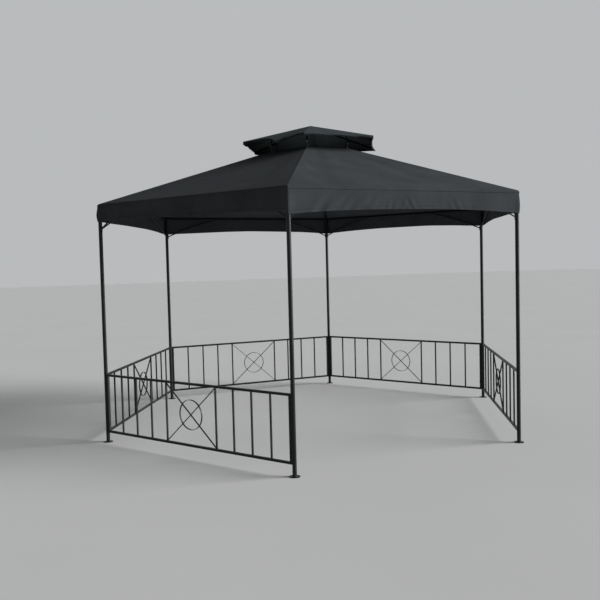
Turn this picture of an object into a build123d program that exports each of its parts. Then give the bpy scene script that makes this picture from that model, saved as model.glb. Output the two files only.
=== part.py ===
from build123d import *
import os
from math import atan2, cos, degrees, hypot, pi, radians, sin

os.makedirs("parts", exist_ok=True)

# A hexagonal garden gazebo: six steel posts, five railing panels, one open side for the entrance,
# a steel roof frame, a fabric roof with a valance, and a raised vent cap. Millimetres, +Z up,
# origin on the ground at the centre of the plan, the entrance faces -Y.

# Plan of the posts: corners and sides in turn, from +X towards +Y
corner_names = ["right", "back_right", "back_left", "left", "front_left", "front_right"]
side_names = ["right_back", "back", "left_back", "left_front", "front", "right_front"]
open_side = "front"
corner_radius = 2000.0

# Fits and seats
tube_gap = 0.3
seat_gap = 0.3
fabric_gap = 0.5

# Posts with their welded foot plates
post_d = 32.0
post_wall = 1.0
post_top = 2004.0
foot_d = 80.0
foot_t = 4.0
foot_chamfer = 1.0
foot_weld = 3.0
foot_hole_d = 9.0
foot_hole_reach = 28.0

# Eave beams
beam_d = 25.0
beam_wall = 1.0
beam_rise = 22.0

# Corner brackets on top of the posts
bracket_height = 32.0
bracket_round = 2.0
spigot_length = 60.0
arm_bare = 30.0
arm_hold = 55.0

# Fabric roof and its valance
fabric_t = 3.0
seam_rise = 28.0
eave_height = 8.0
roof_height = 507.0
vent_radius = 430.0
valance_drop = 177.0
hem_rise = 31.0

# Hip rafters
rafter_d = 22.0
rafter_wall = 1.0

# Vent ring with the uprights that carry the cap
ring_lap = 2.0
ring_d = 20.0
ring_bend = 50.0
upright_inset = 16.0
upright_d = 16.0

# Vent cap
cap_overhang = 260.0
cap_lift = 83.0
cap_height = 180.0
cap_flap = 20.0
cap_crown = 8.0
cap_rafter_d = 16.0
cap_rafter_inset = 22.0
hub_d = 60.0
hub_t = 26.0
hub_drop = 15.0
hub_round = 3.0

# Curved braces between posts and eave beams
brace_d = 12.0
brace_drop = 179.0
brace_sag = 82.0
brace_reach = 620.0
lug_length = 44.0
lug_width = 14.0
lug_t = 3.0

# Railing panels
rail_size = 18.0
bottom_rail_z = 94.0
top_rail_z = 581.0
baluster_size = 12.0
end_gap_count = 4
bay_gap_count = 3
bar_t = 4.0
bar_depth = 12.0
hoop_d = 240.0

# Directions of the corners and sides, and the flat-sided plan
side_count = len(corner_names)
corner_turn = 360.0 / side_count
corners = {name: corner_turn * turn for turn, name in enumerate(corner_names)}
sides = {name: corner_turn * (turn + 0.5) for turn, name in enumerate(side_names)}
half_side = corner_radius * sin(radians(corner_turn / 2))
flat_share = cos(radians(corner_turn / 2))
post_apothem = corner_radius * flat_share
post_bore = post_d - 2 * post_wall

# Heights over the posts
beam_z = post_top + beam_rise
bracket_top = post_top + bracket_height
seam_z = post_top + seam_rise
eave_z = seam_z + eave_height
hem_z = seam_z - valance_drop
brace_post_z = post_top - brace_drop
brace_mid_z = beam_z - brace_sag

# Roof, vent and cap
cloth_inner = post_apothem + post_d / 2 + seat_gap
cloth_outer = cloth_inner + fabric_t
cloth_radius = cloth_outer / flat_share
vent_z = eave_z + roof_height
vent_apothem = vent_radius * flat_share
hip_rise = roof_height / (cloth_radius - vent_radius)
plane_rise = hip_rise / flat_share
ring_radius = vent_radius + ring_lap
ring_corner = ring_radius - ring_bend * (1 / flat_share - 1)
upright_radius = ring_corner - upright_inset
cap_radius = vent_radius + cap_overhang
cap_apothem = cap_radius * flat_share
cap_tip_z = vent_z + cap_lift
cap_apex_z = cap_tip_z + cap_height
cap_rise = cap_height / cap_radius
cap_plane_rise = cap_rise / flat_share
cap_rafter_reach = cap_radius - cap_rafter_inset


def hip_z(r):
    """Height of the main roof's outer face over a corner's radius r."""
    return eave_z + (cloth_radius - r) * hip_rise


def cap_z(r):
    """Height of the cap's outer face over a corner's radius r."""
    return cap_apex_z - r * cap_rise


def drop_under(rise, plane_slope, tube_d):
    """How far a tube's axis lies below the ridge of cloth that it carries."""
    ridge = cos((pi - 2 * atan2(1.0, plane_slope * sin(radians(corner_turn / 2)))) / 2)
    return (tube_d / 2 / ridge + fabric_gap + fabric_t) * hypot(1.0, rise)


rafter_drop = drop_under(hip_rise, plane_rise, rafter_d)
cap_rafter_drop = drop_under(cap_rise, cap_plane_rise, cap_rafter_d)
ring_z = hip_z(ring_radius) - (ring_d / 2 + fabric_gap + fabric_t) * hypot(1.0, plane_rise)


def corner_plane(angle, r=corner_radius, z=0.0):
    """Level plane at a corner, its x axis pointing outwards."""
    c, s = cos(radians(angle)), sin(radians(angle))
    return Plane(origin=(r * c, r * s, z), x_dir=(c, s, 0), z_dir=(0, 0, 1))


def side_plane(angle, apothem):
    """Upright plane of a side: x along the side, y up, normal pointing outwards."""
    c, s = cos(radians(angle)), sin(radians(angle))
    return Plane(origin=(apothem * c, apothem * s, 0), x_dir=(-s, c, 0), z_dir=(c, s, 0))


def cross_plane(start, end):
    """Plane square to the line from start to end, at start."""
    return Plane(origin=start, z_dir=Vector(end) - Vector(start))


def hip_point(angle, r, z):
    """Point over a corner's radius."""
    return Vector(r * cos(radians(angle)), r * sin(radians(angle)), z)


def rafter_point(angle, r):
    """Point of a hip rafter's axis."""
    return hip_point(angle, r, hip_z(r) - rafter_drop)


def cap_rafter_point(angle, r):
    """Point of a cap rafter's axis."""
    return hip_point(angle, r, cap_z(r) - cap_rafter_drop)


def save(piece, name):
    """Label a finished piece and write its file."""
    piece.part.label = name
    export_step(piece.part, f"parts/{name}.step")


def make_post(angle):
    """Round tube on a welded foot plate with two peg holes."""
    ground = corner_plane(angle)
    with BuildPart() as post:
        with BuildSketch(ground):
            Circle(foot_d / 2)
            with Locations((foot_hole_reach, 0), (-foot_hole_reach, 0)):
                Circle(foot_hole_d / 2, mode=Mode.SUBTRACT)
        extrude(amount=foot_t)
        rim = post.edges().filter_by(GeomType.CIRCLE).sort_by(SortBy.RADIUS)[-2:].sort_by(Axis.Z)[-1]
        chamfer(rim, foot_chamfer)
        with BuildSketch(ground.offset(foot_t)):
            Circle(post_d / 2)
        extrude(amount=post_top - foot_t)
        root = post.edges().filter_by(GeomType.CIRCLE).filter_by(
            lambda edge: abs(edge.radius - post_d / 2) < tube_gap and edge.center().Z < post_d
        )
        fillet(root, foot_weld)
        with BuildSketch(ground.offset(foot_t)):
            Circle(post_bore / 2)
        extrude(amount=post_top - foot_t, mode=Mode.SUBTRACT)
    return post


def make_bracket(angle):
    """Corner block with a spigot for the post and arms for two beams and a rafter."""
    seat = corner_plane(angle, z=post_top)
    beam_level = corner_plane(angle, z=beam_z)
    with BuildPart() as bracket:
        with BuildSketch(seat):
            Circle(post_bore / 2 - tube_gap)
        extrude(amount=-spigot_length)
        with BuildSketch(seat):
            Circle(post_d / 2)
        extrude(amount=bracket_top - post_top)
        fillet(bracket.edges().group_by(Axis.Z)[-1], bracket_round)
        for turn in (180 - corner_turn, corner_turn - 180):
            heading = hip_point(angle + turn, 1.0, 0.0)
            with BuildSketch(Plane(origin=beam_level.origin, z_dir=heading)):
                Circle(beam_d / 2 - beam_wall - tube_gap)
            extrude(amount=arm_bare + arm_hold)
        top = rafter_point(angle, corner_radius)
        with BuildSketch(cross_plane(top, rafter_point(angle, 0.0))):
            Circle(rafter_d / 2 - rafter_wall - tube_gap)
        extrude(amount=arm_bare + arm_hold)
    return bracket


def make_tube(start, end, diameter, wall):
    """Straight round tube between two points."""
    length = (Vector(end) - Vector(start)).length
    with BuildPart() as tube:
        with BuildSketch(cross_plane(start, end)):
            Circle(diameter / 2)
            Circle(diameter / 2 - wall, mode=Mode.SUBTRACT)
        extrude(amount=length)
    return tube


def make_beam(angle):
    """Eave beam, pushed onto the arms of the brackets at its two ends."""
    side = side_plane(angle, post_apothem)
    reach = half_side - arm_bare
    return make_tube(side.from_local_coords((-reach, beam_z, 0)),
                     side.from_local_coords((reach, beam_z, 0)), beam_d, beam_wall)


def make_rafter(angle):
    """Hip rafter from the corner bracket's arm to the vent ring."""
    slope = hypot(1.0, hip_rise)
    outer = rafter_point(angle, corner_radius - arm_bare / slope)
    inner = rafter_point(angle, ring_corner + ring_d / 2 + seat_gap)
    return make_tube(outer, inner, rafter_d, rafter_wall)


def make_braces(angle):
    """Pair of curved rods from a post up to its two eave beams, with a flat fixing lug at each end."""
    seat = post_d / 2 + seat_gap
    beam_seat = beam_d / 2 + seat_gap
    post_lug_z = brace_post_z + seat * (brace_mid_z - brace_post_z) / (brace_reach / 2)
    beam_lug_reach = brace_reach * (1 - beam_seat / (2 * brace_sag))
    beam_lug_z = beam_z - beam_seat - seat_gap - lug_t / 2
    with BuildPart() as braces:
        for hand in (1, -1):
            side = side_plane(angle + hand * corner_turn / 2, post_apothem)
            at_post = -hand * half_side
            with BuildLine(side) as bow:
                ThreePointArc(
                    (at_post, brace_post_z),
                    (at_post + hand * brace_reach / 2, brace_mid_z),
                    (at_post + hand * brace_reach, beam_z),
                )
            with BuildSketch(Plane(origin=bow.line @ 0, z_dir=bow.line % 0)):
                Circle(brace_d / 2)
            sweep(path=bow.line)
            with BuildSketch(side.offset(-lug_width / 2)):
                with Locations((hand * (seat + seat_gap + lug_t / 2 - half_side), post_lug_z)):
                    Rectangle(lug_t, lug_length)
                with Locations((hand * (beam_lug_reach - half_side), beam_lug_z)):
                    Rectangle(lug_length, lug_t)
            extrude(amount=lug_width)
        with BuildSketch(corner_plane(angle, z=0.0)):
            Circle(seat)
        extrude(amount=bracket_top, mode=Mode.SUBTRACT)
        for hand in (1, -1):
            side = side_plane(angle + hand * corner_turn / 2, post_apothem)
            start = side.from_local_coords((-half_side, beam_z, 0))
            with BuildSketch(Plane(origin=start, z_dir=side.x_dir)):
                Circle(beam_seat)
            extrude(amount=2 * half_side, mode=Mode.SUBTRACT)
    return braces


def make_railing(angle):
    """Welded railing panel: a frame of square tube, balusters, and a crossed bay with a hoop."""
    face = side_plane(angle, post_apothem)
    mid_z = (bottom_rail_z + top_rail_z) / 2
    outer_length = 2 * (half_side - post_d / 2 - seat_gap)
    outer_height = top_rail_z - bottom_rail_z + rail_size
    stile_span = outer_length - rail_size
    gap = stile_span / (2 * end_gap_count + bay_gap_count)
    bay_length = bay_gap_count * gap
    bay_height = top_rail_z - bottom_rail_z - rail_size
    with BuildPart() as panel:
        with BuildSketch(face.offset(-rail_size / 2)):
            with Locations((0, mid_z)):
                Rectangle(outer_length, outer_height)
                Rectangle(outer_length - 2 * rail_size, outer_height - 2 * rail_size,
                          mode=Mode.SUBTRACT)
        extrude(amount=rail_size)
        with BuildSketch(face.offset(-baluster_size / 2)):
            for hand in (1, -1):
                for step in range(end_gap_count):
                    with Locations((hand * (bay_length / 2 + step * gap), mid_z)):
                        Rectangle(baluster_size, outer_height - rail_size)
        extrude(amount=baluster_size)
        with BuildSketch(face.offset(-bar_depth / 2)):
            with Locations((0, mid_z)):
                Circle(hoop_d / 2)
                Circle(hoop_d / 2 - bar_t, mode=Mode.SUBTRACT)
            for hand in (1, -1):
                tilt = degrees(atan2(hand * bay_height, bay_length))
                with Locations(Location((0, mid_z), tilt)):
                    Rectangle(hypot(bay_length, bay_height), bar_t)
        extrude(amount=bar_depth)
    return panel


def make_hex_shell(outer, inner):
    """Hollow six-sided shell from two lists of (apothem, height) pairs, lowest first."""
    with BuildPart() as shell:
        for apothem, z in outer:
            with BuildSketch(Plane.XY.offset(z)):
                RegularPolygon(apothem, side_count, major_radius=False)
        loft(ruled=True)
        for apothem, z in inner:
            with BuildSketch(Plane.XY.offset(z)):
                RegularPolygon(apothem, side_count, major_radius=False)
        loft(ruled=True, mode=Mode.SUBTRACT)
    return shell


# Posts, brackets, rafters and braces, one set at each corner
for name, angle in corners.items():
    save(make_post(angle), f"post_{name}")
    save(make_bracket(angle), f"bracket_{name}")
    save(make_rafter(angle), f"rafter_{name}")
    save(make_braces(angle), f"braces_{name}")

# Eave beams all round, railing panels on every side but the entrance
for name, angle in sides.items():
    save(make_beam(angle), f"beam_{name}")
    if name != open_side:
        save(make_railing(angle), f"railing_{name}")

# Bent vent ring with a spigot for each rafter and an upright at each corner
with BuildPart() as vent_ring:
    with BuildLine(Plane.XY.offset(ring_z)) as ring_line:
        FilletPolyline(
            *[(ring_radius * cos(radians(a)), ring_radius * sin(radians(a))) for a in corners.values()],
            radius=ring_bend,
            close=True,
        )
    with BuildSketch(Plane(origin=ring_line.line @ 0, z_dir=ring_line.line % 0)):
        Circle(ring_d / 2)
    sweep(path=ring_line.line)
    for angle in corners.values():
        root = rafter_point(angle, ring_corner)
        with BuildSketch(cross_plane(root, rafter_point(angle, corner_radius))):
            Circle(rafter_d / 2 - rafter_wall - tube_gap)
        extrude(amount=ring_d / 2 + arm_hold)
        upright_top = cap_rafter_point(angle, upright_radius + upright_d / 2)
        head = cap_rafter_d / 2 * hypot(1.0, cap_rise) + seat_gap
        with BuildSketch(corner_plane(angle, upright_radius, ring_z)):
            Circle(upright_d / 2)
        extrude(amount=upright_top.Z - head - ring_z)
save(vent_ring, "vent_ring")

# Cap frame: a round hub with six short rafters
hub_top = cap_z(0.0) - hub_drop
with BuildPart() as cap_frame:
    with BuildSketch(Plane.XY.offset(hub_top - hub_t)):
        Circle(hub_d / 2)
    extrude(amount=hub_t)
    fillet(cap_frame.edges().group_by(Axis.Z)[-1], hub_round)
    for angle in corners.values():
        start = cap_rafter_point(angle, hub_d / 4)
        end = cap_rafter_point(angle, cap_rafter_reach)
        with BuildSketch(cross_plane(start, end)):
            Circle(cap_rafter_d / 2)
        extrude(amount=(end - start).length)
save(cap_frame, "cap_frame")

# Main fabric roof, open at the top for the vent
roof_drop = fabric_t * hypot(1.0, plane_rise)
canopy = make_hex_shell(
    [(cloth_outer, seam_z), (cloth_outer, eave_z), (vent_apothem, vent_z)],
    [
        (cloth_inner, seam_z),
        (cloth_inner, eave_z + fabric_t * plane_rise - roof_drop),
        (vent_apothem, vent_z - roof_drop),
        (vent_apothem, vent_z),
    ],
)
save(canopy, "canopy")

# Valance that hangs from the eave seam, its hem curved up between the posts
with BuildPart() as valance:
    with BuildSketch(Plane.XY.offset(hem_z)):
        RegularPolygon(cloth_outer, side_count, major_radius=False)
        RegularPolygon(cloth_inner, side_count, major_radius=False, mode=Mode.SUBTRACT)
    extrude(amount=seam_z - hem_z)
    for angle in list(sides.values())[: side_count // 2]:
        with BuildSketch(side_plane(angle, 0.0)):
            with BuildLine():
                ThreePointArc((-half_side, hem_z), (0, hem_z + hem_rise), (half_side, hem_z))
                Line((half_side, hem_z), (-half_side, hem_z))
            make_face()
        extrude(amount=cloth_radius, both=True, mode=Mode.SUBTRACT)
save(valance, "valance")

# Fabric cap over the vent
cap_drop = fabric_t * hypot(1.0, cap_plane_rise)
cap_crown_z = cap_z(0.0) - cap_crown * cap_plane_rise
cap_canopy = make_hex_shell(
    [
        (cap_apothem, cap_tip_z - cap_flap),
        (cap_apothem, cap_tip_z),
        (cap_crown, cap_crown_z),
    ],
    [
        (cap_apothem - fabric_t, cap_tip_z - cap_flap),
        (cap_apothem - fabric_t, cap_tip_z + fabric_t * cap_plane_rise - cap_drop),
        (cap_crown, cap_crown_z - cap_drop),
    ],
)
save(cap_canopy, "cap_canopy")
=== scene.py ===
# %% [markdown]
# A hexagonal garden gazebo: six steel posts, a charcoal cloth roof with a valance, a raised cap over its
# vent, and low railings on five sides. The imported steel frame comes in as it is. Its cloth and its bolts
# are made here, in metres, with +Z up, the centre of the plan at the origin and the open side facing -Y.

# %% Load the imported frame
import bpy
import numpy as np
from mathutils import Matrix


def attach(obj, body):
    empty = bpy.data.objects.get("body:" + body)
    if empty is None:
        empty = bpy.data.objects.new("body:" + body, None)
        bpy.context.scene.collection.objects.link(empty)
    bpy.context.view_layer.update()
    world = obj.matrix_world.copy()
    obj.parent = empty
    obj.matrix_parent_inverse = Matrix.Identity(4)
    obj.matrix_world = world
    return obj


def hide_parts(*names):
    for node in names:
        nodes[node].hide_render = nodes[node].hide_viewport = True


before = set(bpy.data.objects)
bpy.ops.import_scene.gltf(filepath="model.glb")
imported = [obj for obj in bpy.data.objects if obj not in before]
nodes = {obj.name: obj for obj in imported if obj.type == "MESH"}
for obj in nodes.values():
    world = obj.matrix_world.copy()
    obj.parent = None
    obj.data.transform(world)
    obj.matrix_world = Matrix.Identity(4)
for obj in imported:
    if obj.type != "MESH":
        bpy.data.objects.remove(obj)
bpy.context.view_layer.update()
print("frame nodes:", len(nodes))

# %% [markdown]
# The viewpoint is that of someone standing in front of the open side, a little to its left. The lens and
# the turn of the camera were worked out from the feet and tops of the six posts. A camera could also be
# aimed with a Track To constraint, but a slight roll is easier to give as three directions: right, up and
# back.

# %% Camera
IMAGE_SIZE = 600
LENS_PX = 733.02
EYE = np.array([-3.0186, -6.4158, 1.5056])
YAW, PITCH, ROLL = -0.42, -0.0507, -0.0242

right = np.array([np.cos(YAW), np.sin(YAW), 0.0])
ahead = np.array([-np.sin(YAW), np.cos(YAW), 0.0])
up = np.array([0.0, 0.0, 1.0])
ahead, up = ahead * np.cos(PITCH) + up * np.sin(PITCH), up * np.cos(PITCH) - ahead * np.sin(PITCH)
right, up = right * np.cos(ROLL) + up * np.sin(ROLL), up * np.cos(ROLL) - right * np.sin(ROLL)

camera_data = bpy.data.cameras.new("camera")
camera_data.sensor_width = 36.0
camera_data.lens = LENS_PX * camera_data.sensor_width / IMAGE_SIZE
camera = bpy.data.objects.new("camera", camera_data)
bpy.context.scene.collection.objects.link(camera)
turn = np.column_stack([right, up, -ahead])
camera.matrix_world = Matrix.Translation(EYE) @ Matrix(turn.tolist()).to_4x4()
bpy.context.scene.camera = camera
print("lens:", round(camera_data.lens, 2), "mm")

# %% [markdown]
# Colours are written as sRGB hex values, as a paint chart gives them, and the shader wants linear light.
# One function turns the first into the second, and one adds a node with its settings and links.

# %% Helpers for materials


def linear(code):
    """sRGB hex to linear RGBA: a channel c is c/12.92 up to 0.04045, else ((c+0.055)/1.055)^2.4."""
    c = np.array([int(code[i:i + 2], 16) for i in (1, 3, 5)]) / 255
    return (*np.where(c <= 0.04045, c / 12.92, ((c + 0.055) / 1.055) ** 2.4), 1.0)


def add(tree, kind, values=(), links=(), **settings):
    """Adds a node of that kind: values are (socket, value), links are (socket, output it comes from)."""
    node = tree.nodes.new("ShaderNode" + kind)
    for key, value in settings.items():
        setattr(node, key, value)
    for socket, value in values:
        node.inputs[socket].default_value = value
    for socket, source in links:
        tree.links.new(source, node.inputs[socket])
    return node


def new_material(name):
    """An empty node material with its output node."""
    made = bpy.data.materials.new(name)
    made.use_nodes = True
    made.node_tree.nodes.clear()
    return made, made.node_tree, add(made.node_tree, "OutputMaterial")


def blend(tree, low, high, share):
    """The colour between two colours or outputs, by a share from 0 to 1."""
    mix = add(tree, "Mix", data_type="RGBA")
    for socket, value in ((6, low), (7, high), (0, share)):
        if isinstance(value, bpy.types.NodeSocket):
            tree.links.new(value, mix.inputs[socket])
        else:
            mix.inputs[socket].default_value = value
    return mix.outputs[2]


print("mid grey in linear light:", round(float(linear("#808080")[0]), 4))

# %% [markdown]
# The frame is steel tube with a polyester powder coat, baked on: near black with a green cast, satin,
# with the faint orange-peel skin that melted powder leaves. One flat colour would do from far off, but
# looks like plastic from near by. So noise in Object coordinates, in metres, adds the skin, dust in soft
# patches, and scuffs at the feet, all at a real size on every piece. Paint isn't bare metal, so it is a
# dielectric with an IOR of 1.5. Its specular level is turned down, because at the usual one the pale
# backdrop lights the sides of the tubes, which look near black on the real frame.

# %% Powder-coated steel
PEEL_SIZE = 0.0035
DUST_SIZE = 0.22
SCUFF_HEIGHT = 0.07
SCUFF_GRIT = 0.00625
PEEL_DEPTH = 0.0003


def powder_coat(name, paint, dusty):
    """Satin powder coat: paint and dust mixed by noise, an orange-peel bump, and scuffs near the floor."""
    made, tree, out = new_material(name)
    place = add(tree, "TexCoord").outputs["Object"]
    dust = add(tree, "TexNoise", [("Scale", 1 / DUST_SIZE), ("Detail", 4.0)], [("Vector", place)])
    dust_share = add(tree, "MapRange", [("From Min", 0.45), ("From Max", 0.75), ("To Max", 0.35)],
                     [("Value", dust.outputs[0])])
    coat = blend(tree, linear(paint), linear(dusty), dust_share.outputs[0])
    height = add(tree, "SeparateXYZ", links=[(0, place)]).outputs["Z"]
    low = add(tree, "MapRange", [("From Min", SCUFF_HEIGHT), ("From Max", 0.0)], [("Value", height)])
    grit = add(tree, "TexNoise", [("Scale", 1 / SCUFF_GRIT), ("Detail", 3.0)], [("Vector", place)])
    scuff = add(tree, "MapRange", [("From Min", 0.52), ("From Max", 0.66)], [("Value", grit.outputs[0])])
    share = add(tree, "Math", links=[(0, low.outputs[0]), (1, scuff.outputs[0])], operation="MULTIPLY")
    worn = blend(tree, coat, linear("#3a3f3d"), share.outputs[0])
    peel = add(tree, "TexNoise", [("Scale", 1 / PEEL_SIZE), ("Detail", 2.0)], [("Vector", place)])
    bump = add(tree, "Bump", [("Strength", 0.25), ("Distance", PEEL_DEPTH)], [("Height", peel.outputs[0])])
    rough = add(tree, "MapRange", [("From Min", 0.3), ("From Max", 0.7), ("To Min", 0.36), ("To Max", 0.52)],
                [("Value", dust.outputs[0])])
    shader = add(tree, "BsdfPrincipled", [("IOR", 1.5), ("Specular IOR Level", 0.25)], [
        ("Base Color", worn), ("Roughness", rough.outputs[0]), ("Normal", bump.outputs[0])])
    tree.links.new(shader.outputs[0], out.inputs[0])
    return made


frame_coat = powder_coat("powder_coated_steel", "#0b100f", "#1d2220")
railing_coat = powder_coat("powder_coated_railing_steel", "#0a0f0e", "#1b201e")
cloth_nodes = ("canopy", "valance", "cap_canopy")
for name, node in nodes.items():
    if name not in cloth_nodes:
        node.data.materials.clear()
        node.data.materials.append(railing_coat if name.startswith("railing") else frame_coat)
print("coated nodes:", len(nodes) - len(cloth_nodes))

# %% [markdown]
# The cloth is a woven polyester with a thin coating on its underside, dark charcoal, and a little cooler
# in tone on the cap. Threads lie 0.5 mm apart, too fine for the picture, so the weave is drawn 2.5 mm
# coarse, as two sets of bands across each other. The dye is a little uneven over some 30 cm, the surface
# is matt with a trace of sheen, and every seam has two rows of stitches. Stitches could be pieces of
# their own, but there are thousands of them, so the material draws them: each point of the cloth carries
# how far it lies across and along its seam. The same distance darkens the cloth along each seam, which is
# painted shade: the seam's shadow line painted into the colour.

# %% Charcoal polyester
THREAD = 0.0025
STITCH_PITCH = 0.005
STITCH_ROW = 0.0042
STITCH_WIDE = 0.0007
STITCH_LONG = 0.0035
STITCH_DEPTH = 0.0006
WEAVE_DEPTH = 0.0004
DYE_PATCH = 0.3125
# Painted shadow line along each seam: within SEAM_NEAR of a seam the cloth is darkened by a share, fading
# out by SEAM_FAR
SEAM_NEAR = 0.007
SEAM_FAR = 0.011
SEAM_PAINTED_SHADE = 0.16


def bands(tree, place, axis):
    """Threads side by side: a sine along one axis of the cloth's own UV, in metres."""
    values = [("Scale", 1 / THREAD / 20 * 2 * np.pi), ("Distortion", 0.6),
              ("Detail", 1.0), ("Detail Scale", 2.0)]
    return add(tree, "TexWave", values, [("Vector", place)], bands_direction=axis)


def polyester(name, dye, faded, thread):
    """Woven cloth: uneven dye by noise, a crossed weave as bump, and rows of stitches beside each seam."""
    made, tree, out = new_material(name)
    flat = add(tree, "UVMap", uv_map="cloth").outputs[0]
    place = add(tree, "TexCoord").outputs["Object"]
    uneven = add(tree, "TexNoise", [("Scale", 1 / DYE_PATCH), ("Detail", 5.0), ("Roughness", 0.6)],
                 [("Vector", place)])
    share = add(tree, "MapRange", [("From Min", 0.35), ("From Max", 0.68)], [("Value", uneven.outputs[0])])
    colour = blend(tree, linear(dye), linear(faded), share.outputs[0])
    warp, weft = bands(tree, flat, "X"), bands(tree, flat, "Y")
    weave = add(tree, "Math", links=[(0, warp.outputs["Fac"]), (1, weft.outputs["Fac"])], operation="ADD")
    across = add(tree, "Attribute", attribute_name="seam_across").outputs["Fac"]
    along = add(tree, "Attribute", attribute_name="seam_along").outputs["Fac"]
    row = add(tree, "Math", [(1, STITCH_ROW), (2, STITCH_WIDE)], [(0, across)], operation="COMPARE")
    step = add(tree, "Math", [(1, STITCH_PITCH)], [(0, along)], operation="WRAP")
    step.inputs[2].default_value = 0.0
    part = add(tree, "Math", [(1, STITCH_LONG)], [(0, step.outputs[0])], operation="LESS_THAN")
    stitch = add(tree, "Math", links=[(0, row.outputs[0]), (1, part.outputs[0])], operation="MULTIPLY")
    sewn = blend(tree, colour, linear(thread), stitch.outputs[0])
    # Painted shade: the shadow line along each seam is painted in, as a darkening towards #17191a
    reach = [("From Min", SEAM_FAR), ("From Max", SEAM_NEAR), ("To Max", SEAM_PAINTED_SHADE)]
    seam = add(tree, "MapRange", reach, [("Value", across)])
    shaded = blend(tree, sewn, linear("#17191a"), seam.outputs[0])
    fine = add(tree, "Bump", [("Strength", 0.18), ("Distance", WEAVE_DEPTH)],
               [("Height", weave.outputs[0])])
    raised = add(tree, "Bump", [("Strength", 0.6), ("Distance", STITCH_DEPTH)],
                 [("Height", stitch.outputs[0]), ("Normal", fine.outputs[0])])
    shader = add(tree, "BsdfPrincipled",
                 [("Roughness", 0.92), ("Specular IOR Level", 0.08), ("Sheen Weight", 0.015),
                  ("Sheen Roughness", 0.5), ("Sheen Tint", linear("#9aa3a8"))],
                 [("Base Color", shaded), ("Normal", raised.outputs[0])])
    tree.links.new(shader.outputs[0], out.inputs[0])
    return made


roof_weave = polyester("charcoal_woven_polyester", "#34373a", "#3d4043", "#505357")
cap_weave = polyester("charcoal_woven_polyester_cap", "#2d3335", "#363c3e", "#464c4e")
print("threads drawn", 1000 * THREAD, "mm apart")

# %% [markdown]
# All three cloths share one way of counting. The plan is a hexagon with rounded corners. A hexagon with
# its corners bevelled would give the shape too, but none of its points would know where on its side it
# lies, and the folds, the seams and the hems need that. So a point is (a - rho) K + rho N: a is the
# distance of the side from the centre, rho the rounding, K the point of a sharp hexagon one metre from
# its centre, and N the outward direction. Going round, each side has half a corner, a straight run and
# half a corner again. Going down, a profile gives a and the height of each row.

# %% The hexagon that the cloths follow
SIDES = ("right_back", "back", "left_back", "left_front", "front", "right_front")
SIDE_ANGLES = np.radians([30, 90, 150, 210, 270, 330])
HALF_TURN = np.pi / 6
TAN30 = np.tan(HALF_TURN)


def side_columns(arc_steps, near, straight_steps):
    """Shares s (-1 to 1) along a side and turns phi from its normal, closer together near the corners."""
    middle = np.linspace(-1, 1, straight_steps + 1) * (1 - near[-1])
    run = np.concatenate([-1 + near[:-1], middle, 1 - near[:-1][::-1]])
    arc = np.linspace(0, HALF_TURN, arc_steps + 1)
    s = np.concatenate([-np.ones(arc_steps), run, np.ones(arc_steps)])
    phi = np.concatenate([-arc[:0:-1], np.zeros(len(run)), arc[1:]])
    return s, phi


def hexagon(a, rho, s, phi):
    """Plan points (a - rho) K + rho N for every side: an array of 6 sides, rows, columns and x, y."""
    normal = np.stack([np.cos(SIDE_ANGLES), np.sin(SIDE_ANGLES)], -1)[:, None, None]
    along = np.stack([-np.sin(SIDE_ANGLES), np.cos(SIDE_ANGLES)], -1)[:, None, None]
    sharp = normal + (s * TAN30)[None, None, :, None] * along
    out = normal * np.cos(phi)[None, None, :, None] + along * np.sin(phi)[None, None, :, None]
    return (a - rho)[..., None] * sharp + rho[..., None] * out


print("the sides face", np.degrees(SIDE_ANGLES).round().tolist(), "degrees")

# %% [markdown]
# Each cloth is one closed ring of rows and columns: after the last column comes the first one again. Two
# edges that only touch would show as a crack, so no column is there twice. The cap also ends in a point,
# which a fan of triangles closes. The cloth's thickness could be a second surface of its own, but the
# Solidify modifier makes it from the first, always at the same distance.

# %% From rows and columns to a mesh
def closed_grid(by_side):
    """Joins six sides of rows and columns into one ring, dropping each side's last column."""
    return np.concatenate(list(by_side[:, :, :-1]), axis=1)


def ring_quads(rows, columns, pole=False):
    """Faces of a ring of rows and columns, and of a fan to a last point where there is a pole."""
    r, c = np.meshgrid(np.arange(rows - 1), np.arange(columns), indexing="ij")
    near, far = r * columns, (r + 1) * columns
    step = (c + 1) % columns
    quads = np.stack([near + c, far + c, far + step, near + step], -1).reshape(-1, 4)
    if not pole:
        return quads.tolist()
    c = np.arange(columns)
    fan = np.stack([np.full(columns, rows * columns), c, (c + 1) % columns], -1)
    return quads.tolist() + fan.tolist()


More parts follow.
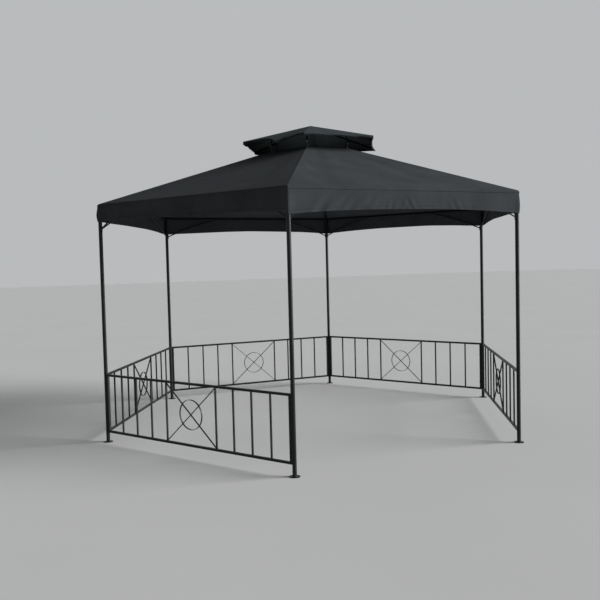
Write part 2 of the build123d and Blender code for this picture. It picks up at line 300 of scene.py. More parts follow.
def cloth_mesh(name, points, by_side, pole_point, flat_uv, across, along, material):
    """Puts a cloth's ring of points into a mesh, with its UV in metres and its seam distances."""
    sides, rows, columns = by_side
    ring = sides * (columns - 1)
    vertices = points.reshape(-1, 3)
    if pole_point is not None:
        vertices = np.vstack([vertices, pole_point])
    mesh = bpy.data.meshes.new(name)
    mesh.from_pydata(vertices.tolist(), [], ring_quads(rows, ring, pole_point is not None))
    r, side, c = np.meshgrid(np.arange(rows - 1), np.arange(sides), np.arange(columns - 1), indexing="ij")
    corner = [(r, c), (r + 1, c), (r + 1, c + 1), (r, c + 1)]
    uv = np.stack([flat_uv[side, rr, cc] for rr, cc in corner], -2).reshape(-1, 2)
    if pole_point is not None:
        side, c = np.meshgrid(np.arange(sides), np.arange(columns - 1), indexing="ij")
        first, second = flat_uv[side, 0, c], flat_uv[side, 0, c + 1]
        tip = np.zeros_like(first)
        uv = np.vstack([uv, np.stack([tip, first, second], -2).reshape(-1, 2)])
    mesh.uv_layers.new(name="cloth").data.foreach_set("uv", uv.astype(np.float32).ravel())
    for key, values in (("seam_across", across), ("seam_along", along)):
        flat = values.ravel()
        if pole_point is not None:
            flat = np.append(flat, 0.0)
        mesh.attributes.new(key, "FLOAT", "POINT").data.foreach_set("value", flat.astype(np.float32))
    mesh.materials.append(material)
    mesh.polygons.foreach_set("use_smooth", np.ones(len(mesh.polygons), bool))
    mesh.update()
    piece = bpy.data.objects.new(name, mesh)
    bpy.context.scene.collection.objects.link(piece)
    return piece


def smooth_step(x):
    """0 below 0, 1 above 1, and 3x^2 - 2x^3 between."""
    x = np.clip(x, 0, 1)
    return x * x * (3 - 2 * x)


def cloth_wall(piece, thickness):
    """Gives a cloth its thickness, inwards from the face that shows."""
    wall = piece.modifiers.new("thickness", "SOLIDIFY")
    wall.thickness = thickness
    wall.offset = -1.0


ARC_STEPS = 4
ROOF_COLUMNS = 60
near_shares = np.array([0.0, 0.003, 0.006, 0.009, 0.013, 0.02, 0.032, 0.05])
roof_s, roof_phi = side_columns(ARC_STEPS, near_shares, ROOF_COLUMNS)
print("columns on a side:", len(roof_s))

# %% [markdown]
# The roof is six panels sewn along the hips, pulled tight over the rafters and turned down over the eave
# beams, where it ends in a short lip. It could be a cloth simulation, but that is slow to settle, and
# where it folds can't be chosen. A surface that is worked out from a profile has each fold where it is
# wanted, and bends from the slope into the lip without a break. The turn is wider at the posts, where the
# bracket holds it off the corner.

# %% Rows of the roof
CLOTH_A = 1.75135
EAVE_Z = 2.040
ROOF_RISE = 0.3677
VENT_A = 0.3724
SEAM_Z = 2.0316
LIP_DROP = 0.010
EAVE_ROUND = 0.012
CORNER_ROUND = 0.008
POST_ROUND = 0.019
CLOTH_THICK = 0.0012
ROOF_SAG = 0.009
POST_REACH = 0.04
HIP_ROUND = 0.010

slope = np.arctan(ROOF_RISE)
s, phi = roof_s[None], roof_phi[None]
roof_share = np.concatenate([[0, 0.006, 0.014, 0.02], np.linspace(0.035, 1, 34)])[:, None]
arc_turn = np.linspace(slope, np.pi / 2, 7)[1:, None]
lip_share = np.array([0.25, 0.5, 0.75, 1.0])[:, None]
turn_round = EAVE_ROUND + CORNER_ROUND * np.exp(-((1 - np.abs(s)) / POST_REACH) ** 2)
arc_a = CLOTH_A - turn_round
arc_z = EAVE_Z - turn_round * (1 - np.sin(slope)) / np.cos(slope)
slope_a = VENT_A + (arc_a + turn_round * np.sin(slope) - VENT_A) * roof_share
lip_end = SEAM_Z - LIP_DROP
row_a = np.vstack([slope_a, arc_a + turn_round * np.sin(arc_turn), CLOTH_A + 0 * lip_share * s])
row_z = np.vstack([EAVE_Z + (CLOTH_A - slope_a) * ROOF_RISE, arc_z + turn_round * np.cos(arc_turn),
                   arc_z + (lip_end - arc_z) * lip_share])
lean = np.vstack([slope + 0 * roof_share, arc_turn, np.pi / 2 + 0 * lip_share])
share = np.vstack([roof_share, 1 + 0 * arc_turn, 1 + 0 * lip_share])
on_slope = share < 1
print("roof rows:", len(row_a), "lip ends at", round(lip_end, 4))

# %% [markdown]
# Pulled cloth is never quite flat. It hangs about 9 mm low between two rafters, faint folds fan out from
# the corners that pull on it, and at each seam and hem it lies double. A displacement texture could draw
# that, but here each of them is an offset in metres along the cloth's normal, so that they can simply be
# added and every one keeps its real size.

# %% Sag, ripples and seam ridges of the roof
CALM_CORNER = 0.08
RIDGE_FADE = 0.003
HIP_RIDGE = (0.0009, 0.0065)
LIP_RIDGE = (0.0008, 0.006)
VENT_RIDGE = (0.0010, 0.020)
VENT_FADE = 0.004


def seam_ridge(ridge, distance, fade):
    """Height of doubled cloth: full up to the seam's half width, then a smooth step down over the fade."""
    height, wide = ridge
    return height * (1 - smooth_step((distance - wide) / fade))


def roof_ripples(side_number, share, s):
    """Faint folds that fan out from the corners of a roof panel: a few slow sines, strongest mid-slope."""
    phase = 1.7 * side_number
    fan = np.sin(9.5 * s * (1.25 - 0.25 * share) + phase) * 0.0011
    fan = fan + np.sin(17.0 * s + 5.0 * share + 2.1 * phase) * 0.0006
    pull = np.exp(-((np.abs(s) - 0.86) / 0.1) ** 2) * np.sin(26 * share + 34 * np.abs(s) + phase) * 0.0009
    return (fan + pull) * np.sin(np.pi * share) ** 0.8


ends = smooth_step((1 - np.abs(s)) / CALM_CORNER)
sag = -ROOF_SAG * (1 - s ** 2) * np.sin(np.pi * share ** 0.85)
ripples = np.stack([roof_ripples(number, share, s) * ends * on_slope for number in range(6)])
rho = (HIP_ROUND + (POST_ROUND - HIP_ROUND) * share) * np.ones_like(s)
from_hip = (row_a - rho) * TAN30 * (1 - np.abs(s)) + rho * (HALF_TURN - np.abs(phi))
slope_length = (row_a - VENT_A) / np.cos(slope)
from_lip = row_z - lip_end
hip_ridge = seam_ridge(HIP_RIDGE, from_hip, RIDGE_FADE)
lip_ridge = seam_ridge(LIP_RIDGE, from_lip, RIDGE_FADE)
vent_ridge = seam_ridge(VENT_RIDGE, slope_length, VENT_FADE) * on_slope
offsets = sag + ripples + hip_ridge + lip_ridge + vent_ridge
print("roof cloth moves", round(1000 * float(offsets.min()), 1), "to",
      round(1000 * float(offsets.max()), 1), "mm")

# %% [markdown]
# The offsets go in, and the rows become points in space. An automatic unwrap would turn and stretch the
# weave from panel to panel, so the cloth's flat pattern is worked out with the points: how far along its
# side and how far down the slope each of them lies, in metres. A seam's distance is taken from the hip or
# from the lip, whichever is nearer.

# %% Put the roof together
NO_SEAM = 9.0
SECOND_SEAM = 2.0
full_a = row_a + offsets * np.sin(lean)
full_z = row_z + offsets * np.cos(lean)
plan = hexagon(full_a, np.broadcast_to(rho, full_a.shape), roof_s, roof_phi)
roof_points = closed_grid(np.concatenate([plan, full_z[..., None]], -1))
side_along = (row_a - rho) * TAN30 * s + rho * phi
run_down = slope_length + (EAVE_Z - row_z) * ~on_slope
six = (6,) + row_a.shape
roof_uv = np.stack([np.broadcast_to(side_along, six), np.broadcast_to(run_down, six)], -1)
to_lip = np.where(on_slope, NO_SEAM, from_lip)
use_hip = from_hip < to_lip
roof_across = np.where(use_hip, from_hip, to_lip)
roof_along = np.where(use_hip, run_down, side_along + SECOND_SEAM)
roof_cover = cloth_mesh("roof_cover", roof_points, six, None, roof_uv,
                        closed_grid(np.broadcast_to(roof_across, six)),
                        closed_grid(np.broadcast_to(roof_along, six)), roof_weave)
cloth_wall(roof_cover, CLOTH_THICK)
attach(roof_cover, "root")
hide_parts("canopy")
corner_names = ("right", "back_right", "back_left", "left", "front_left", "front_right")
print("roof cover:", len(roof_cover.data.polygons), "faces")

# %% [markdown]
# The valance is a strip sewn on behind the roof's lip, whose folded hem rises between the posts. The hem
# could be one arch on every side, but on the real one each side hangs in its own way, so nine heights
# along a side draw it. A row's height is the share of the way down from the seam to the hem, so all rows
# follow the hem's curve.

# %% Hem line of the valance, side by side
VALANCE_BACK = 0.0014
VALANCE_THICK = 0.0008
HEM_FOLD = 0.022
VALANCE_COLUMNS = 212
hem_places = np.array([0.0, 0.05, 0.16, 0.32, 0.5, 0.65, 0.82, 0.95, 1.0])
plain_hem = 1.857 + 0.031 * (1 - (2 * hem_places - 1) ** 2)
hem_knots = {
    "front": np.array([1.841, 1.853, 1.868, 1.880, 1.885, 1.887, 1.880, 1.868, 1.862]),
    "left_front": np.array([1.892, 1.896, 1.897, 1.896, 1.878, 1.874, 1.881, 1.864, 1.858]),
    "right_front": plain_hem + np.array([0.003, 0.004, 0.006, 0.0, -0.002, 0.004, 0.002, -0.002, 0.0]),
    "back": plain_hem + np.array([0.0, 0.002, 0.004, 0.001, 0.003, 0.0, -0.003, 0.0, 0.0]),
    "left_back": plain_hem + np.array([0.0, 0.0, 0.004, 0.006, 0.006, 0.011, 0.020, 0.034, 0.036]),
    "right_back": plain_hem + np.array([0.0, -0.002, 0.002, 0.005, 0.001, 0.002, 0.001, 0.0, 0.0]),
}
side_length = 2 * CLOTH_A * TAN30
valance_s, valance_phi = side_columns(ARC_STEPS, near_shares, VALANCE_COLUMNS)


def hem_height(side, s):
    """Hem height along a side: the average of five straight interpolations set 3% of the side apart."""
    t = (s + 1) / 2
    shifts = np.array([-0.03, -0.015, 0.0, 0.015, 0.03])
    fade = np.minimum(1, np.minimum(t, 1 - t) / 0.03)
    return np.mean([np.interp(t + d * fade, hem_places, hem_knots[side]) for d in shifts], axis=0)


hem = np.stack([hem_height(side, valance_s) for side in SIDES])[:, None]
print("hem between", round(float(hem.min()), 3), "and", round(float(hem.max()), 3), "m, columns",
      round(1000 * side_length / VALANCE_COLUMNS, 1), "mm apart")

# %% [markdown]
# The valance is a little longer than the seam that holds it, so short slanted creases run up from the hem
# in a few places. Noise would crease it everywhere alike. So each group of creases is a wave under a bell,
# with a place of its own. They are narrow, which is why this sheet's columns lie only 9.5 mm apart.

# %% Creases of the valance
VALANCE_DROP = 0.16
# Each group: distance along its side, spread, length of one crease and depth in metres, then its lean and
# the share of the way down where it starts
CREASES = {
    "front": [(0.27, 0.11, 0.150, 0.0030, 0.9, 0.0), (0.50, 0.12, 0.115, 0.0021, 0.9, 0.1),
              (0.84, 0.12, 0.064, 0.0012, 0.4, 0.35), (1.02, 0.08, 0.072, 0.0014, -0.5, 0.15),
              (1.43, 0.13, 0.080, 0.0014, -0.4, 0.3)],
    "left_front": [(0.45, 0.25, 0.120, 0.0017, -0.8, 0.1), (1.20, 0.30, 0.095, 0.0014, 0.7, 0.2),
                   (1.72, 0.13, 0.075, 0.0013, 0.5, 0.0)],
    "right_front": [(0.50, 0.25, 0.090, 0.0016, 0.9, 0.1), (1.30, 0.28, 0.105, 0.0018, -0.6, 0.2)],
    "right_back": [(0.40, 0.22, 0.080, 0.0014, 0.7, 0.3), (1.35, 0.26, 0.095, 0.0017, 0.9, 0.1)],
    "back": [(0.60, 0.30, 0.085, 0.0015, -0.8, 0.2), (1.45, 0.24, 0.070, 0.0013, 0.7, 0.3)],
    "left_back": [(0.50, 0.26, 0.075, 0.0013, 0.8, 0.3), (1.30, 0.26, 0.105, 0.0017, -0.7, 0.1)],
}


def valance_creases(side, along, height, below):
    """Sum of bell * depth * sin(2 pi (along - place - lean * height) / length), growing below a start."""
    total = np.zeros(np.broadcast(along, height).shape)
    for place, spread, length, depth, lean, start in CREASES[side]:
        bell = np.exp(-((along - place - lean * height) / spread) ** 2) * smooth_step((below - start) / 0.55)
        wave = np.sin(2 * np.pi * (along - place - lean * height) / length)
        second = 0.35 * np.sin(2 * np.pi * (along - place - 0.6 * lean * height) / (length * 0.7) + 1.1)
        total = total + bell * depth * (wave + second)
    return total


print("groups of creases:", sum(len(groups) for groups in CREASES.values()))

# %% [markdown]
# Hung cloth isn't stretched like the roof: it bellies out a little towards the hem, and bulges at each
# corner, where it goes round the post without touching it. These are added to the creases, the hem's fold
# gets its ridge, and the strip goes round in one piece.

# %% Put the valance together
BELLY = 0.006
s, phi = valance_s[None], valance_phi[None]
hem_rows = [0.885, 0.91, 0.94, 0.97, 0.985, 1.0]
below = np.concatenate([[0, 0.04], np.linspace(0.09, 0.86, 19), hem_rows])[:, None]
top_z = SEAM_Z - 0.002
hem_drop = (top_z - hem) * below
from_hem = (top_z - hem) * (1 - below)
val_rho = (POST_ROUND - VALANCE_BACK) * np.ones_like(below * s)
val_a = CLOTH_A - VALANCE_BACK
ends = smooth_step((1 - np.abs(s)) / CALM_CORNER)
along = (s + 1) / 2 * side_length
creases = np.stack([valance_creases(side, along, (1 - below) * VALANCE_DROP, below) for side in SIDES])
belly = BELLY * below ** 1.5 * (1 - s ** 2)
# How far each corner bulges where it hangs clear of its post: the start and the end of every side
FLARE = np.array([[0.005, 0.005], [0.005, 0.005], [0.005, 0.010],
                  [0.010, 0.005], [0.005, 0.006], [0.006, 0.005]])
corner_flare = np.where(s < 0, FLARE[:, :1, None], FLARE[:, 1:, None])
flare = corner_flare * np.exp(-((np.abs(s) - 1) / 0.03) ** 2) * np.sin(np.pi * below ** 1.4)
hem_ridge = seam_ridge((LIP_RIDGE[0], HEM_FOLD), from_hem, RIDGE_FADE)
full_a = val_a + creases * ends + belly + flare + hem_ridge
plan = hexagon(full_a, np.broadcast_to(val_rho, full_a.shape), valance_s, valance_phi)
full_z = np.broadcast_to(top_z - hem_drop, full_a.shape)
valance_points = closed_grid(np.concatenate([plan, full_z[..., None]], -1))
side_along = (val_a - val_rho) * TAN30 * s + val_rho * phi
val_hip = (val_a - val_rho) * TAN30 * (1 - np.abs(s)) + val_rho * (HALF_TURN - np.abs(phi))
to_hem = np.abs(from_hem - HEM_FOLD) + STITCH_ROW
use_hip = val_hip < to_hem
valance_uv = np.stack([np.broadcast_to(side_along, full_a.shape), hem_drop + 0 * s], -1)
valance_cloth = cloth_mesh("valance_cloth", valance_points, full_a.shape, None, valance_uv,
                           closed_grid(np.where(use_hip, val_hip, to_hem)),
                           closed_grid(np.where(use_hip, hem_drop, side_along + SECOND_SEAM)), roof_weave)
cloth_wall(valance_cloth, VALANCE_THICK)
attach(valance_cloth, "root")
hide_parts("valance")
print("valance:", len(valance_cloth.data.polygons), "faces")

# %% [markdown]
# The cap is a small roof of the same cloth over the vent. Only its six arms hold it up, so its edge is
# loose: it dips between the arms, draws in a little, and ends in a narrow flap. A few bell curves on each
# side draw the dip, where one sagging curve would make all six sides look alike.

# %% Edge of the cap
CAP_A = 0.5976
CAP_PEAK = 2.810
CAP_FLAP = 0.022
CAP_ARC_STEPS = 3
CAP_COLUMNS = 36
cap_s, cap_phi = side_columns(CAP_ARC_STEPS, np.array([0.0, 0.012, 0.026, 0.045, 0.075]), CAP_COLUMNS)
TIP_Z = {"right": 2.630, "back_right": 2.630, "back_left": 2.630, "left": 2.629, "front_left": 2.630,
         "front_right": 2.637}
DIP = {
    "right_back": [(0.5, 0.3, 0.006)],
    "back": [(0.45, 0.3, 0.020)],
    "left_back": [(0.5, 0.3, 0.010)],
    "left_front": [(0.56, 0.07, 0.046), (0.70, 0.12, 0.016)],
    "front": [(0.5, 0.32, 0.003)],
    "right_front": [(0.35, 0.2, 0.018), (0.78, 0.14, 0.010)],
}


def cap_edge(side, s):
    """Dip of the cap's edge below the straight line between its tips, the sum of a few bell curves."""
    t = (s + 1) / 2
    low = sum(depth * np.exp(-((t - place) / spread) ** 2) for place, spread, depth in DIP[side])
    return low * smooth_step(np.minimum(t, 1 - t) / 0.16)


print("deepest dip:", round(1000 * max(float(cap_edge(side, cap_s).max()) for side in SIDES), 1), "mm")

# %% [markdown]
# The flap is the cap's hem. It isn't held by anything, so it flutters, tucks in, and flares at a loose
# corner, and it looks shorter where the wind has turned it under. A simulation with wind could do that,
# but each side has to come out in its own known way, so slow sines do it, and a length for each stretch.

# %% Flap of the cap
# How much each side's flap flutters, and its length at places along the side against the plain one
FLUTTER = {"front": 0.3, "left_front": 0.4, "left_back": 0.4, "right_back": 0.7}
FLAP_PLACES = np.array([0.0, 0.1, 0.25, 0.42, 0.58, 0.8, 1.0])
FLAP_SHARES = {
    "front": np.array([0.8, 0.5, 0.45, 0.45, 0.45, 0.6, 1.0]),
    "left_front": np.array([1.2, 0.7, 0.3, 0.3, 1.0, 0.6, 0.8]),
    "left_back": np.array([1.0, 0.8, 0.8, 0.8, 0.8, 0.9, 1.2]),
    "right_back": np.array([1.3, 0.9, 0.75, 0.75, 0.75, 0.8, 1.0]),
    "right_front": np.array([1.0, 1.0, 1.0, 1.0, 1.0, 1.1, 1.3]),
}
# How far the flap stands out at a side's start and end, where the loose corner flares
CORNER_OUT = {"right_front": (0.0, 0.019), "right_back": (0.019, 0.0)}
print("sides with a flap of their own:", len(FLAP_SHARES))

# %% [markdown]
# The surface is ruled from the peak to the edge, with the dip growing with the square of the distance, as
# on a hanging cloth. A cone with its edge pulled down would do for a stiff lid, but the peak of a cloth
# stays straight while its edge hangs.

# %% Rows of the cap
DRAW_IN = 0.35
cap_share = np.concatenate([[0.02, 0.06], np.linspace(0.12, 0.94, 22), [0.965, 0.985, 1.0]])
cap_flap = np.array([0.12, 0.3, 0.5, 0.7, 0.85, 1.0])
rows_f = np.concatenate([cap_share, np.ones(len(cap_flap))])[:, None]
rows_d = np.concatenate([np.zeros(len(cap_share)), cap_flap])[:, None]
s, phi = cap_s[None], cap_phi[None]
cap_rho = (0.002 + 0.010 * rows_f) * np.ones_like(s)
cap_a, cap_z = [], []
for number, side in enumerate(SIDES):
    start, end = TIP_Z[corner_names[number]], TIP_Z[corner_names[(number + 1) % 6]]
    straight = start + (end - start) * (s + 1) / 2
    dip = cap_edge(side, s)
    ends = smooth_step((1 - np.abs(s)) / 0.2)
    draw_in = DRAW_IN * dip + 0.010 * (1 - s ** 2)
    loose = FLUTTER.get(side, 1.0) * ends
    flutter = (0.006 * np.sin(11 * s + 2.3 * number) + 0.004 * np.sin(23 * s + number)) * loose
    tuck = 0.004 * rows_d * ends
    out = CORNER_OUT.get(side, (0.0, 0.0))
    spread_out = np.where(s < 0, out[0], out[1]) * np.exp(-((1 - np.abs(s)) / 0.16) ** 2)
    cap_a.append(CAP_A * rows_f - draw_in * rows_f ** 3 + (flutter - tuck + spread_out) * rows_d)
    ripple = 0.0022 * np.sin(9 * s + 1.9 * number) * ends * rows_f ** 2
    kept = np.interp((s + 1) / 2, FLAP_PLACES, FLAP_SHARES.get(side, np.ones(len(FLAP_PLACES))))
    length = CAP_FLAP * kept * (1 + 0.25 * np.sin(7 * s + 1.3 * number) * loose)
    cap_z.append(CAP_PEAK - rows_f * (CAP_PEAK - straight) - dip * rows_f ** 2 + ripple - rows_d * length)
cap_a, cap_z = np.stack(cap_a), np.stack(cap_z)
print("cap from", round(float(cap_z.min()), 3), "to", round(float(cap_z.max()), 3), "m")

# %% [markdown]
# The cap gets its seams and its flat pattern as the roof did, and one point closes its peak. It could
# share the roof's own code if both had the same rows, but the cap's rows differ from side to side.

# %% Put the cap together
CAP_SLOPE = 0.62
PEAK_RISE = 0.0005
cap_hip = (cap_a - cap_rho) * TAN30 * (1 - np.abs(s)) + cap_rho * (HALF_TURN - np.abs(phi))
ridge = seam_ridge((HIP_RIDGE[0], 0.006), cap_hip, RIDGE_FADE) * (rows_d == 0)
plan = hexagon(cap_a, np.broadcast_to(cap_rho[None], cap_a.shape), cap_s, cap_phi)
cap_points = closed_grid(np.concatenate([plan, (cap_z + ridge)[..., None]], -1))
side_along = (cap_a - cap_rho) * TAN30 * s + cap_rho * phi
run_down = rows_f * CAP_SLOPE + rows_d * CAP_FLAP + 0.0 * side_along
cap_uv = np.stack([side_along, run_down], -1)
to_edge = np.where(rows_d > 0, np.abs(rows_d - 0.75) * CAP_FLAP + STITCH_ROW, NO_SEAM) + 0.0 * side_along
use_hip = cap_hip < to_edge
peak = np.array([0.0, 0.0, CAP_PEAK + PEAK_RISE])
cap_cover = cloth_mesh("cap_cover", cap_points, cap_a.shape, peak, cap_uv,
                       closed_grid(np.where(use_hip, cap_hip, to_edge)),
                       closed_grid(np.where(use_hip, run_down, side_along + SECOND_SEAM)), cap_weave)
cloth_wall(cap_cover, CLOTH_THICK)
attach(cap_cover, "root")
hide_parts("cap_canopy")
print("cap cover:", len(cap_cover.data.polygons), "faces")

# %% [markdown]
# The frame is held together by zinc-plated bolts: M6 wherever a tube is pushed onto its socket, and M4 on
# the lugs of the braces. All but those of the vent are blackened like the frame. Zinc is bare metal, so it
# is metallic with the default IOR. Real plating is nearly even, but in one flat colour a small head looks
# painted, so two tones are mixed by noise of 4 mm, which is under half a head.

# %% Zinc-plated bolts
ZINC_SIZE = 0.004


def zinc_plate(name, dark, light):
    """Zinc plating: two tones of metal and an uneven roughness, mixed by noise of ZINC_SIZE."""
    made, tree, out = new_material(name)
    place = add(tree, "TexCoord").outputs["Object"]
    spangle = add(tree, "TexNoise", [("Scale", 1 / ZINC_SIZE), ("Detail", 3.0)], [("Vector", place)])
    rough = add(tree, "MapRange", [("To Min", 0.28), ("To Max", 0.48)], [("Value", spangle.outputs[0])])
    colour = blend(tree, linear(dark), linear(light), spangle.outputs[0])
    shader = add(tree, "BsdfPrincipled", [("Metallic", 1.0)],
                 [("Base Color", colour), ("Roughness", rough.outputs[0])])
    tree.links.new(shader.outputs[0], out.inputs[0])
    return made


bright_zinc = zinc_plate("zinc_plated_steel", "#9da2a6", "#c3c7c9")
black_zinc = zinc_plate("black_zinc_plated_steel", "#2a2d2d", "#3d4040")
print("finishes for bolts:", bright_zinc.name, "and", black_zinc.name)

# %% [markdown]
# A bolt head is a hexagon with its top corners turned off, on a round washer. It could be cut from a
# cylinder with booleans, but those leave long thin faces. Here it is one profile turned round an axis,
# whose radius follows a hexagon for the head and a circle for the washer.

# %% Shape of a bolt
HEAD_FLAT = 0.005
BOLT_SEGMENTS = 24
# Each row of the profile: radius across flats, how much of a hexagon it is, and its height
BOLT_PROFILE = np.array([
    [0.0064, 0, -0.0008], [0.0064, 0, 0.0007], [0.0060, 0, 0.0011], [0.0052, 0, 0.0012],
    [HEAD_FLAT, 1, 0.0012], [HEAD_FLAT, 1, 0.0042], [0.0046, 0.5, 0.0049], [0.0030, 0, 0.0050],
])


def bolt_points(point, axis, size):
    """A bolt head: radius = size * flat * (1 / cos(angle from the nearest flat) on a hexagon, else 1)."""
    axis = np.asarray(axis, float) / np.linalg.norm(axis)
    side = np.cross(axis, [0.0, 0.0, 1.0] if abs(axis[2]) < 0.9 else [1.0, 0.0, 0.0])
    side = side / np.linalg.norm(side)
    other = np.cross(axis, side)
    angle = np.linspace(0, 2 * np.pi, BOLT_SEGMENTS, endpoint=False)
    hexed = 1 / np.cos((angle + np.pi / 6) % (np.pi / 3) - np.pi / 6)
    radius = size * BOLT_PROFILE[:, :1] * (1 + BOLT_PROFILE[:, 1:2] * (hexed - 1))
    ring = radius[..., None] * (np.cos(angle)[:, None] * side + np.sin(angle)[:, None] * other)
    return (ring + size * BOLT_PROFILE[:, 2][:, None, None] * axis + np.asarray(point)).reshape(-1, 3)


def bolts(name, places, finish, bolt_size):
    """All bolts of one kind as one piece; each head is closed by a flat face at its top and bottom."""
    rows = len(BOLT_PROFILE)
    quads = np.array(ring_quads(rows, BOLT_SEGMENTS))[:, ::-1]
    ends = [list(range(BOLT_SEGMENTS))[::-1],
            list(range((rows - 1) * BOLT_SEGMENTS, rows * BOLT_SEGMENTS))]
    points = np.vstack([bolt_points(point, axis, bolt_size) for point, axis in places])
    size = rows * BOLT_SEGMENTS
    faces = [(quads + size * n).tolist() for n in range(len(places))]
    caps = [[i + size * n for i in cap] for n in range(len(places)) for cap in ends]
    mesh = bpy.data.meshes.new(name)
    mesh.from_pydata(points.tolist(), [], sum(faces, []) + caps)
    mesh.materials.append(finish)
    mesh.update()
    piece = bpy.data.objects.new(name, mesh)
    bpy.context.scene.collection.objects.link(piece)
    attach(piece, "root")
    return piece


print("faces of one bolt:", (len(BOLT_PROFILE) - 1) * BOLT_SEGMENTS + 2)

# %% [markdown]
# A bolt sits on the inside of each post, on the inside of the beams at both of their ends, on each
# railing's end tubes, on the lugs and on the vent's uprights. Each one could be put in place by hand, but
# there are 86 of them, so their places are worked out from the same sizes that the frame has.

# %% Where the bolts go
POST_R = 2.0
POST_A = POST_R * np.cos(HALF_TURN)
TUBE = {"post": 0.016, "beam": 0.0125, "upright": 0.008}
BEAM_Z = 2.026
POST_BOLT_Z = 1.974
BEAM_BOLT_ALONG = 0.943
VENT_R = 0.40826
VENT_BOLT_Z = (2.600, 2.652)
RAIL_BOLT_Z = (0.165, 0.51)
STILE_FACE = 1.0 - 0.0163 - 0.018
corner_angles = np.radians(np.arange(6) * 60)


def polar(angle, r, z):
    """Point at a direction, a distance from the centre and a height."""
    return np.array([r * np.cos(angle), r * np.sin(angle), z])


# Brace lugs: distance of each face along the side from the post's axis, height, and the bolt's place on it
POST_LUG = {"face": 0.0196, "z": 1.8313, "spread": 0.015}
BEAM_LUG = {"reach": 0.5716, "face": 2.0099, "beyond": 0.015}
M4_SIZE = 0.7
beam_places, post_places, rail_places, vent_places, lug_places = [], [], [], [], []
for angle in corner_angles:
    post_places.append((polar(angle, POST_R - TUBE["post"], POST_BOLT_Z), -polar(angle, 1, 0)))
    for z in VENT_BOLT_Z:
        vent_places.append((polar(angle, VENT_R + TUBE["upright"], z), polar(angle, 1, 0)))
for angle, side in zip(SIDE_ANGLES, SIDES):
    out_way, along_way = polar(angle, 1, 0), polar(angle + np.pi / 2, 1, 0)
    for hand in (-1, 1):
        at = out_way * (POST_A - TUBE["beam"]) + along_way * hand * BEAM_BOLT_ALONG
        beam_places.append((at + np.array([0, 0, BEAM_Z]), -out_way))
        corner_at, inward = out_way * POST_A + along_way * hand, -hand * along_way
        for z in (POST_LUG["z"] - POST_LUG["spread"], POST_LUG["z"] + POST_LUG["spread"]):
            lug_places.append((corner_at + inward * POST_LUG["face"] + np.array([0, 0, z]), inward))
        reach = BEAM_LUG["reach"] + BEAM_LUG["beyond"]
        under = corner_at + inward * reach + np.array([0, 0, BEAM_LUG["face"]])
        lug_places.append((under, np.array([0, 0, -1.0])))
        if side != "front":
            for z in RAIL_BOLT_Z:
                at = out_way * POST_A + along_way * hand * STILE_FACE + np.array([0, 0, z])
                rail_places.append((at, -hand * along_way))
for name, places, finish, bolt_size in (
        ("beam_bolts", beam_places, black_zinc, 1.0), ("post_bolts", post_places, black_zinc, 1.0),
        ("railing_bolts", rail_places, black_zinc, 1.0), ("lug_bolts", lug_places, black_zinc, M4_SIZE),
        ("vent_bolts", vent_places, bright_zinc, 1.0)):
    bolts(name, places, finish, bolt_size)
    print(name, len(places))

# %% [markdown]
# The gazebo stands on a plain pale floor, which catches its shadow. A tiled or grassy one would draw the
# eye away from the thin tubes. It reaches 60 m each way, so that its edge lies near the horizon.

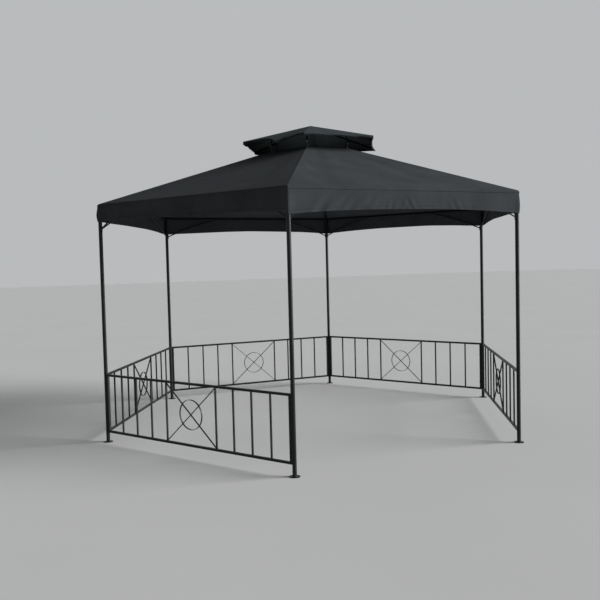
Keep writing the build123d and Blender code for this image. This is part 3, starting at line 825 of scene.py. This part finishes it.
# %% Floor
FLOOR_HALF = 60.0
TONES_PER_METRE = 0.6
made, tree, out = new_material("pale_floor")
place = add(tree, "TexCoord").outputs["Object"]
tone = add(tree, "TexNoise", [("Scale", TONES_PER_METRE), ("Detail", 3.0)], [("Vector", place)])
colour = blend(tree, linear("#d5d6d5"), linear("#dcdddc"), tone.outputs[0])
shader = add(tree, "BsdfPrincipled", [("Roughness", 0.9), ("Specular IOR Level", 0.1)],
             [("Base Color", colour)])
tree.links.new(shader.outputs[0], out.inputs[0])
floor_mesh = bpy.data.meshes.new("floor")
floor_mesh.from_pydata([(-FLOOR_HALF, -FLOOR_HALF, 0), (FLOOR_HALF, -FLOOR_HALF, 0),
                        (FLOOR_HALF, FLOOR_HALF, 0), (-FLOOR_HALF, FLOOR_HALF, 0)], [], [(0, 1, 2, 3)])
floor_mesh.materials.append(made)
floor = bpy.data.objects.new("floor", floor_mesh)
bpy.context.scene.collection.objects.link(floor)
print("floor:", 2 * FLOOR_HALF, "m wide")

# %% [markdown]
# The light is one large soft window, low on the right, and a weak even sky, with the pale floor as the
# third source. That leaves the left sides in shade, as in a hall with a window. Area lamps would do it
# too, but their light falls off from one side of so wide an object to the other, which a sun's doesn't.

# %% Light and backdrop
SUN_WAY = (0.85, -0.44, 0.28)
SUN_STRENGTH = 5.8
SUN_WIDTH = 34.0
SKY_STRENGTH = 0.12


def soft_light(name, direction, strength, spread):
    """Even light from one direction, soft because it comes from a disc that many degrees wide."""
    data = bpy.data.lights.new(name, "SUN")
    data.energy = strength
    data.angle = np.radians(spread)
    made = bpy.data.objects.new(name, data)
    bpy.context.scene.collection.objects.link(made)
    back = np.array(direction, float) / np.linalg.norm(direction)
    side = np.cross([0.0, 0.0, 1.0], back)
    side = side / np.linalg.norm(side)
    turn = np.column_stack([side, np.cross(back, side), back])
    made.matrix_world = Matrix(turn.tolist()).to_4x4()


soft_light("window", SUN_WAY, SUN_STRENGTH, SUN_WIDTH)
world = bpy.data.worlds.new("studio")
bpy.context.scene.world = world
world.use_nodes = True
tree = world.node_tree
tree.nodes.clear()
path = add(tree, "LightPath")
seen = add(tree, "Math", links=[(0, path.outputs["Is Camera Ray"]), (1, path.outputs["Is Glossy Ray"])],
           operation="MAXIMUM")
seen = add(tree, "Math", links=[(0, seen.outputs[0]), (1, path.outputs["Is Transmission Ray"])],
           operation="MAXIMUM")
sky = add(tree, "Background", [("Color", linear("#f2f4f6")), ("Strength", SKY_STRENGTH)])
backdrop = add(tree, "Background", [("Color", linear("#b9bbbc")), ("Strength", 1.0)])
both = add(tree, "MixShader", links=[(0, seen.outputs[0]), (1, sky.outputs[0]), (2, backdrop.outputs[0])])
add(tree, "OutputWorld", links=[(0, both.outputs[0])])
bpy.context.scene.view_settings.view_transform = "Standard"
